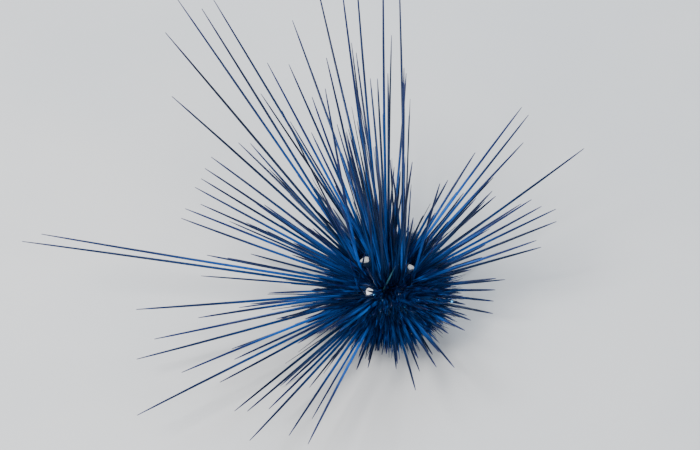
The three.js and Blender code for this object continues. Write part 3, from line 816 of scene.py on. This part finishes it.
# Roots scattered over a sector in front of the disc, directions scattered over a range of clock and lean
def makeCrownNeedles():
    step = np.arange(crownNeedles["count"])
    even = (step * goldenShare) % 1
    turn = np.radians(between(*crownNeedles["around"], even))
    out = between(*crownNeedles["out"], vary(step + 4.4))
    roots = polar(out, turn, middle[2] + testHeight(out, test["top"]))
    clock = between(*crownNeedles["clock"], 1 - even + 0.2 * (vary(step + 1.9) - 0.5))
    lean = between(*crownNeedles["lean"], vary(step + 8.1))
    reach = between(*crownNeedles["reach"], vary(step + 2.6) ** crownNeedles["evenness"])
    tips = roots + seenDirection(np.radians(clock), np.radians(lean)) * reach[:, None]
    radius = between(*crownNeedles["radius"], vary(step + 6.2))
    keep = clearOfSpots(roots, crownNeedles["spotRoom"]) & ~hideSpot(roots, tips, radius)
    keep &= clearOfCone(roots, tips, radius, crownNeedles["coneTimes"])
    growKept("crown_needles", keep, roots, tips, radius, crownNeedles, needleMaterial)


makeCrownNeedles()

# Two needles that stand out in the photo, coloured with painted highlights along their lower part and at the
# root, and two in front of the cone, by the pixels of their roots and tips
glintBlue, glintPaleGreen = (0.006, 0.24, 0.9), (0.05, 0.15, 0.18)
nearNeedles = [
    # painted highlight: vivid blue lower part and a bright blue root
    {"name": "glint_needle", "from": (375.4, 300.8), "to": (340.0, 326.1), "lean": 50, "radius": 1.0,
     "look": {"lowerColourAndSheen": [(0.0, glintBlue), (1.0, glintBlue)], "outerFrom": (0.28, 0.62), "root": (0.006, 0.2, 0.7)}},
    # painted highlight: a pale grey-green lit streak
    {"name": "pale_glint_needle", "from": (382.0, 291.0), "to": (393.8, 263.0), "lean": 62, "radius": 0.62,
     "look": {"lowerColourAndSheen": [(0.0, glintPaleGreen), (1.0, glintPaleGreen)], "outerFrom": (0.6, 0.95),
              "root": (0.03, 0.1, 0.12)}},
    {"name": "cone_side_needle", "from": (390.4, 281.0), "to": (391.6, 205.0), "lean": 24, "radius": 0.9},
    {"name": "cone_front_needle", "from": (392.6, 281.0), "to": (393.0, 228.0), "lean": 27, "radius": 0.8},
]
nearLook = {**fillLook, "rows": [(0, -2.2, 1.0), (0, 1.5, 1.0)] + needleRows[5:]}  # no collar at the root


# Root on the test under the first pixel, tip at the second, nearer by the way across times tan(lean)
def makeNearNeedles():
    for item in nearNeedles:
        root = seenOnTest(*item["from"])
        dx = (item["to"][0] - item["from"][0]) * photo["scale"]
        dy = (item["from"][1] - item["to"][1]) * photo["scale"]
        nearer = math.hypot(dx, dy) * math.tan(math.radians(item["lean"]))
        tip = root + viewRight * dx + viewUp * dy + towardsViewer * nearer
        material = makeSpineMaterial(item["name"].replace("_", " "), {**spineLook, **item.get("look", {})})
        spineTuft(item["name"], root[None], tip[None], np.array([item["radius"]]), nearLook, material)


makeNearNeedles()

shortSpines = {
    "spread": (3600, -62, 78, 31, 0.06), "length": (9, 23), "evenness": 1.4, "radius": (0.3, 0.44),
    "stray": 0.38, "lift": 0.1, "innermost": (11.6, 14.2), "spotRoom": 0.5, "lowest": 0.8,
    "sides": 5, "key": 4000, "bend": 0.01,
    "rows": [(0, -1.2, 1.0), (0, 0.5, 1.35), (0, 1.2, 0.95), (0.45, 0, 0.8), (0.9, 0, 0.34)],
}


# Short spines stand straight out, strayed a little, longest round the widest part of the test
def makeShortSpines():
    direction = spread(*shortSpines["spread"])
    step = np.arange(len(direction))
    rise, turn = anglesOf(direction)
    roots = testPoint(rise, turn, np.where(rise > 0, *shortSpines["innermost"]))
    stray = shortSpines["stray"] * strayOf(step, (3.1, 5.7, 8.3))
    outward = unit(direction + np.array([0, 0, shortSpines["lift"]]) + stray)
    share = vary(step + 61.3) ** shortSpines["evenness"] * (0.55 + 0.45 * np.cos(rise) ** 2)
    tips = roots + outward * between(*shortSpines["length"], share)[:, None]
    radius = between(*shortSpines["radius"], vary(step + 17.9))
    keep = clearOfSpots(roots, shortSpines["spotRoom"]) & ~hideMark(roots, tips, radius)
    keep &= tips[:, 2] > shortSpines["lowest"]
    growKept("short_spines", keep, roots, tips, radius, shortSpines, shortMaterial)


makeShortSpines()

# Short spines that lean over the spots the photo doesn't show
coverSpines = {
    "spots": (2, 4), "count": 90, "ring": (0.4, 4.5), "evenness": 1.5, "arc": 2.1, "lean": 0.9,
    "length": (9, 17), "radius": (0.34, 0.46), "stray": 0.5, "spotRoom": 0.3,
    "sides": 5, "key": 5200, "bend": 0.012, "rows": shortSpines["rows"],
}


# Rooted in an arc on the viewer's side of a spot, tilted up across it: outward + lean * up, strayed
def makeCoverSpines():
    step = np.arange(coverSpines["count"] * len(coverSpines["spots"]))
    spot = np.array(coverSpines["spots"])[step % len(coverSpines["spots"])]
    angle = -math.pi / 2 + coverSpines["arc"] * (vary(step + 5.1) - 0.5)
    away = spotSize[spot] + between(*coverSpines["ring"], vary(step + 7.3) ** coverSpines["evenness"])
    way = viewRight * np.cos(angle)[:, None] + viewUp * np.sin(angle)[:, None]
    roots = onTest(spotCentre[spot] + way * away[:, None])
    stray = coverSpines["stray"] * strayOf(step, (3.1, 5.7, 8.3))
    outward = unit(unit(roots - middle) + coverSpines["lean"] * viewUp + stray)
    tips = roots + outward * between(*coverSpines["length"], vary(step + 1.3))[:, None]
    radius = between(*coverSpines["radius"], vary(step + 2.2))
    keep = clearOfSpots(roots, coverSpines["spotRoom"]) & ~hideSpot(roots, tips, radius)
    growKept("cover_spines", keep, roots, tips, radius, coverSpines, shortMaterial)


makeCoverSpines()

standingSpines = {
    "sides": 8, "key": 6000, "bend": 0.0, "blunt": 0.05,
    "rows": [(0, -2.0, 1.0), (0, 0.4, 1.5), (0, 1.4, 1.0), (0.4, 0, 0.85), (0.8, 0, 0.72), (0.94, 0, 0.8),
             (1.0, 0, 0.62)],
    "stop": 0.45,  # height at which the line ends
}
mouthSpines = {
    "spread": (420, -86, -24, 71, 0.12), "length": (6, 14), "radius": (0.42, 0.62), "stray": 0.5,
    "innermost": 15.2, "lowest": 1.0, "shortest": 3.5, "sides": 6, "key": 7000, "bend": 0.01,
    "rows": [(0, -1.2, 1.0), (0, 0.5, 1.3), (0, 1.2, 0.95), (0.6, 0, 0.85), (0.97, 0, 0.7)],
}


# The solids' lower spines, ended just above the floor: the line's share is the fall to the stop over the
# whole fall
def makeStandingSpines():
    chosen = coat["kind"] == "foot"
    roots, ends = coat["root"][chosen], coat["end"][chosen]
    fall = (roots[:, 2:] - standingSpines["stop"]) / (roots[:, 2:] - ends[:, 2:])
    tips = roots + (ends - roots) * fall
    spineTuft("standing_spines", roots, tips, coat["radius"][chosen], standingSpines, shortMaterial)


# Small spines on the mouth side, shortened where they would come below the lowest height
def makeMouthSpines():
    direction = spread(*mouthSpines["spread"])
    step = np.arange(len(direction))
    rise, turn = anglesOf(direction)
    roots = testPoint(rise, turn, mouthSpines["innermost"])
    stray = mouthSpines["stray"] * strayOf(step, (2.2, 4.4, 6.6))
    outward = unit(direction * np.array([1, 1, 0.6]) + stray)
    tips = roots + outward * between(*mouthSpines["length"], vary(step + 12.5))[:, None]
    lowest = mouthSpines["lowest"]
    fall = (roots[:, 2] - lowest) / np.maximum(roots[:, 2] - tips[:, 2], 0.1)
    tips = roots + (tips - roots) * np.where(tips[:, 2] < lowest, fall, 1)[:, None]
    keep = np.linalg.norm(tips - roots, axis=1) > mouthSpines["shortest"]
    radius = between(*mouthSpines["radius"], vary(step + 1.1))
    growKept("mouth_side_spines", keep, roots, tips, radius, mouthSpines, shortMaterial)


makeStandingSpines()
makeMouthSpines()

skin = {
    "around": 420, "down": 190,  # points
    "seamDepth": 0.22, "plateHeight": 3.1, "plateSeam": 0.09, "plateShare": 0.7, "deepest": 1.2,
    "middleSeam": 0.35, "edgeSeam": 0.3, "bandBlur": 0.7, "narrowRise": 0.45,
    "discPlateRise": 0.9, "discPlateOut": 8.0, "discPlateWidth": 2.2, "grooveDepth": 0.5, "grooveWidth": 0.4,
    "mouthDip": 0.9,
}


# Superellipse turned about the axis, raised and lowered along its own outward way. Each seam is a narrow
# bell curve, exp(-(distance / width)^2): between plates, in the middle of each band and along its edges.
def makeSkin():
    around, down = skin["around"], skin["down"]
    turn = (np.arange(around) * 2 * math.pi / around)[None, :]
    slope = np.linspace(-math.pi / 2, math.pi / 2, down + 2)[1:-1][:, None]
    n = test["roundness"]
    half = np.where(slope < 0, test["bottom"], test["top"])
    out = test["radius"] * np.cos(slope) ** (2 / n)
    up = np.sign(slope) * half * np.abs(np.sin(slope)) ** (2 / n)
    steps = np.hypot(np.diff(out[:, 0], prepend=0), np.diff(up[:, 0], prepend=-test["bottom"]))
    arc = np.cumsum(steps)[:, None]
    # 0 in the middle of a wide band, 36 in the middle of a narrow one
    side = (np.degrees(turn) - test["firstWide"] + 36) % 72 - 36
    offset = np.abs(side)
    narrow = 1 / (1 + np.exp(-(offset - test["wideHalf"]) / skin["bandBlur"]))
    onSide = (out > test["discRadius"] + 0.8) | (up < 0)
    plateRow = arc / skin["plateHeight"] + 0.5 * ((offset % 36) > 0) * np.sign(side)
    seam = np.exp(-(((plateRow * (1 + narrow)) % 1 - 0.5) / skin["plateSeam"]) ** 2)
    along = out / 57.3  # millimetres to a degree
    middleSeam = np.exp(-(offset * along / skin["middleSeam"]) ** 2)
    middleSeam = middleSeam + np.exp(-((36 - offset) * along / skin["edgeSeam"]) ** 2)
    edgeSeam = np.exp(-((offset - test["wideHalf"]) * along / skin["edgeSeam"]) ** 2)
    seams = np.clip(seam * skin["plateShare"] + middleSeam + edgeSeam, 0, skin["deepest"])
    lift = (skin["narrowRise"] * narrow - skin["seamDepth"] * seams) * onSide
    # plates round the pole, a groove round them, and the mouth's shallow dip
    disc = (out < test["discRadius"] + 0.3) & (up > 0)
    plate = np.cos(np.radians(offset) * 2.5) ** 2
    plate = plate * np.exp(-((out - skin["discPlateOut"]) / skin["discPlateWidth"]) ** 2) * disc
    groove = np.exp(-((out - test["discRadius"]) / skin["grooveWidth"]) ** 2) * (up > 0)
    dip = (out < test["mouthRadius"]) & (up < 0)
    lift = lift + skin["discPlateRise"] * plate - skin["grooveDepth"] * groove - skin["mouthDip"] * dip
    level = (out / test["radius"]) ** (n - 1) / test["radius"]
    upright = np.sign(up) * (np.abs(up) / half) ** (n - 1) / half
    outward = unit(polar(level, turn, upright + 0 * turn))
    points = polar(out, turn, middle[2] + up + 0 * turn)
    points = (points + outward * lift[..., None]).reshape(-1, 3)
    ends = np.array([[0, 0, middle[2] - test["bottom"] + skin["mouthDip"]], [0, 0, middle[2] + test["top"]]])
    # mark for the painted light and shade: higher where the skin is raised, lower in the seams
    reliefShade = np.concatenate([np.clip(0.5 + lift, 0, 1).ravel(), [0.5, 0.5]])
    putMesh("test_skin", np.concatenate([points, ends]), list(ringFaces(down, around)), skinMaterial,
            marks={"reliefShade": reliefShade}, nodes=bandNodes + ["apical_disc"])


makeSkin()


# Flat-bottomed domes: radius shrinks as a quarter circle, and the edge wavers by sines round it
def domes(name, centres, sizes, look, material, nodes=()):
    count = len(centres)
    sides, rings, rise, key = (look[part] for part in ("sides", "rings", "rise", "key"))
    outward = unit((centres - middle) / np.array([test["radius"], test["radius"], test["top"]]) ** 2)
    across = unit(np.cross(np.array([0, 0, 1.0]), outward))
    other = np.cross(outward, across)
    angle = np.arange(rings) / rings * math.pi / 2
    turn = np.arange(sides) * 2 * math.pi / sides
    phase = vary(key + np.arange(count))[:, None, None]
    waver = 1 + 0.10 * np.sin(3 * turn + 6.3 * phase) + 0.05 * np.sin(5 * turn + 9 * phase)
    reach = sizes[:, None, None] * np.cos(angle)[None, :, None] * waver
    height = (rise * sizes)[:, None, None] * np.sin(angle)[None, :, None] + 0 * turn
    reach = np.concatenate([reach[:, :1], reach], axis=1)[..., None]
    height = np.concatenate([np.full((count, 1, sides), -look["sink"]), height], axis=1)[..., None]
    ringWay = across[:, None, None] * np.cos(turn)[:, None] + other[:, None, None] * np.sin(turn)[:, None]
    body = centres[:, None, None, :] + reach * ringWay + height * outward[:, None, None, :]
    ends = np.stack([centres - look["sink"] * outward, centres + outward * (rise * sizes)[:, None]], 1)
    points = np.concatenate([body.reshape(count, -1, 3), ends], 1)
    faces = copiedFaces(ringFaces(rings + 1, sides), count, points.shape[1])
    putMesh(name, points.reshape(-1, 3), faces, material, nodes=nodes)


spotLook = {"sides": 28, "rings": 7, "rise": 0.34, "sink": 0.9, "key": 40}
domes("white_spots", spotCentre, spotSize * 1.02, spotLook, whiteGlowMaterial,
      [f"white_spot_{i + 1}" for i in range(5)])

# The blue specks by pixel, and others along the bands
specks = {
    "count": 60, "size": (0.3, 0.6), "heights": (24, 70), "halves": (5, 12), "innermost": 11.5,
    "sides": 8, "rings": 3, "rise": 0.5, "sink": 0.6, "key": 80,
}


# Rise and turn scattered along the bands, at random shares of each band's width
def makeSpecks():
    step = np.arange(specks["count"])
    rise = np.radians(between(*specks["heights"], vary(step + 0.77)))
    half = np.where(step % 2, *specks["halves"])
    turn = np.radians(test["firstWide"] + 36 * (step % 10) + half * (2 * vary(step + 0.13) - 1))
    centres = np.concatenate([testPoint(rise, turn, specks["innermost"]), speckPlaces])
    sizes = between(*specks["size"], vary(step + 9.9))
    sizes = np.concatenate([sizes, np.full(len(speckPlaces), speckSize)])
    domes("blue_specks", centres, sizes, specks, speckGlowMaterial)


makeSpecks()


# Creases: sines along and round the bulb, weaker towards the axis
def coneCreases(radius, height, turn):
    crease = 0.10 * np.sin(10 * turn + 0.6 * height) + 0.06 * np.sin(23 * turn - height)
    crease = crease + 0.05 * np.sin(5.5 * height + 2 * np.sin(turn))
    return crease * np.clip(radius / 2, 0, 1), 0.04 * np.sin(7 * turn)


bulb = {"sides": 56, "steps": 6, "below": 0.2, "ringWidth": 0.5, "ringDepth": 1.6}


# Soft bulb turned from an eased profile. The ring mark is a bell curve of the distance from the ring.
def makeCone():
    low, top = cone["seat"] - bulb["below"], cone["seat"] + cone["height"]
    r, h = cone["radius"], cone["height"]
    knots = [(r * 0.98, low), (r * 1.02, low + h * 0.16), (r * 1.05, low + h * 0.36),
             (r * 0.95, low + h * 0.59), (r * 0.78, low + h * 0.79), (r * 0.56, top - 0.4), (r * 0.42, top),
             (r * 0.28, top - 0.5), (r * 0.16, top - 1.4)]
    profile = np.concatenate([[(0, low)], smoothProfile(knots, bulb["steps"]), [(0, top - 1.8)]])
    points, faces = turnedPiece(profile, bulb["sides"], coneCreases)
    out = np.hypot(points[:, 0], points[:, 1])
    ring = np.exp(-((out - cone["rim"]) / bulb["ringWidth"]) ** 2) * (points[:, 2] > top - bulb["ringDepth"])
    putMesh("anal_cone_bulb", points, faces, coneMaterial, marks={"ringMark": ring},
            nodes=("anal_cone",))


makeCone()


# Folds: sines round the membrane and across it, fading out at its edge
def mouthFolds(radius, height, turn):
    edge = np.clip((test["mouthRadius"] - radius) / 6, 0, 1)
    return 0 * turn, 0.16 * np.sin(35 * turn) * edge + 0.12 * np.sin(radius * 4 + np.sin(5 * turn))


membrane = {"sides": 150, "steps": 8, "above": 0.75}


# Shallow membrane turned from an eased profile
def makeMouth():
    low, r = middle[2] - test["bottom"] + membrane["above"], test["mouthRadius"]
    knots = [(r - 0.1, low + 2.4), (r - 0.2, low + 0.8), (r * 0.85, low + 0.15), (r * 0.6, low + 0.3),
             (r * 0.42, low - 0.25), (r * 0.33, low + 0.2), (r * 0.28, low + 1.6)]
    profile = np.concatenate([[(0, low + 2.6)], smoothProfile(knots, membrane["steps"]), [(0, low + 1.7)]])
    points, faces = turnedPiece(profile, membrane["sides"], mouthFolds)
    putMesh("mouth_membrane_skin", points, [f[:, ::-1] for f in faces], mouthMaterial,
            nodes=("mouth_membrane",))


teeth = {
    "rings": 12, "sides": 10, "out": 2.5, "innermost": 0.42, "width": 1.15, "thick": 0.8,
    "top": 13.0, "drop": 4.1, "rootOut": 2.9, "cap": 0.1, "point": 0.08,
}


# A tooth is an oval section carried down, narrowing by 3/4 and drawing in by (1 - t)^0.7 to its point
def makeTeeth():
    t = np.linspace(0, 1, teeth["rings"])[:, None]
    angle = np.arange(teeth["sides"])[None] * 2 * math.pi / teeth["sides"]
    narrowed = 1 - t * 0.75
    x = teeth["out"] * (1 - t) ** 0.7 + teeth["innermost"] + teeth["thick"] * narrowed * np.cos(angle)
    y = teeth["width"] * narrowed * np.sin(angle)
    z = teeth["top"] - teeth["drop"] * t + 0 * angle
    ends = [[teeth["rootOut"], 0, teeth["top"] + teeth["cap"]],
            [teeth["innermost"], 0, teeth["top"] - teeth["drop"] - teeth["point"]]]
    tooth = np.concatenate([np.stack([x, y, z], -1).reshape(-1, 3), ends])
    turns = np.radians(test["firstWide"] + 36 + 72 * np.arange(5))
    cos, sin, zero = np.cos(turns), np.sin(turns), np.zeros(5)
    spin = np.stack([np.stack([cos, sin, zero], -1), np.stack([-sin, cos, zero], -1),
                     np.stack([zero, zero, zero + 1], -1)], 1)
    points = (tooth[None] @ spin).reshape(-1, 3)
    turnedFaces = [face[:, ::-1] for face in ringFaces(teeth["rings"], teeth["sides"])]
    faces = copiedFaces(turnedFaces, 5, len(tooth))
    putMesh("five_teeth", points, faces, toothMaterial, nodes=("teeth",))


makeMouth()
makeTeeth()


# A pale square floor that reaches out to its size from the middle, in metres
def makeStage(size):
    mesh = bpy.data.meshes.new("floor")
    corners = [(-size, -size, 0), (size, -size, 0), (size, size, 0), (-size, size, 0)]
    mesh.from_pydata(corners, [], [(0, 1, 2, 3)])
    mesh.materials.append(floorMaterial)
    floor = bpy.data.objects.new("floor", mesh)
    bpy.context.collection.objects.link(floor)


# A round soft light turned towards its target
def makeLight(name, place, target, size, power, colour):
    data = bpy.data.lights.new(name, "AREA")
    data.shape = "DISK"
    data.size = size
    data.energy = power
    data.color = colour
    lamp = bpy.data.objects.new(name, data)
    bpy.context.collection.objects.link(lamp)
    way = Vector(target) - Vector(place)
    lamp.matrix_world = Matrix.Translation(place) @ way.to_track_quat("-Z", "Y").to_matrix().to_4x4()


# Lens such that the photo's width in millimetres, at the camera's distance, fills the sensor
def makeCamera():
    data = bpy.data.cameras.new("camera")
    data.sensor_width = lens["sensor"]
    data.lens = data.sensor_width * photo["distance"] / (photo["widthPx"] * photo["scale"])
    data.clip_start, data.clip_end = lens["near"], lens["far"]
    camera = bpy.data.objects.new("camera", data)
    bpy.context.collection.objects.link(camera)
    turn = Matrix((viewRight, viewUp, towardsViewer)).transposed()
    camera.matrix_world = Matrix.Translation(cameraPlace * mm + axisPlace) @ turn.to_4x4()
    bpy.context.scene.camera = camera


lens = {"sensor": 36.0, "near": 0.05, "far": 30}
lightTarget = (0.05, 0, 0.06)
sky = {"colour": (0.78, 0.82, 0.88, 1), "strength": 0.68}
lights = [
    {"name": "key", "place": (-0.75, -0.35, 1.25), "size": 0.5, "power": 30, "colour": (1.0, 0.98, 0.95)},
    {"name": "fill", "place": (0.9, -0.9, 0.8), "size": 0.8, "power": 10, "colour": (0.85, 0.92, 1.0)},
    {"name": "back", "place": (0.25, 1.1, 1.0), "size": 0.6, "power": 14, "colour": (0.8, 0.9, 1.0)},
]
makeStage(9.0)
for lamp in lights:
    makeLight(lamp["name"], lamp["place"], lightTarget, lamp["size"], lamp["power"], lamp["colour"])
world = bpy.data.worlds.new("studio")
world.use_nodes = True
background = world.node_tree.nodes["Background"]
background.inputs["Color"].default_value = sky["colour"]
background.inputs["Strength"].default_value = sky["strength"]
bpy.context.scene.world = world
makeCamera()
print("stage, light and camera made")
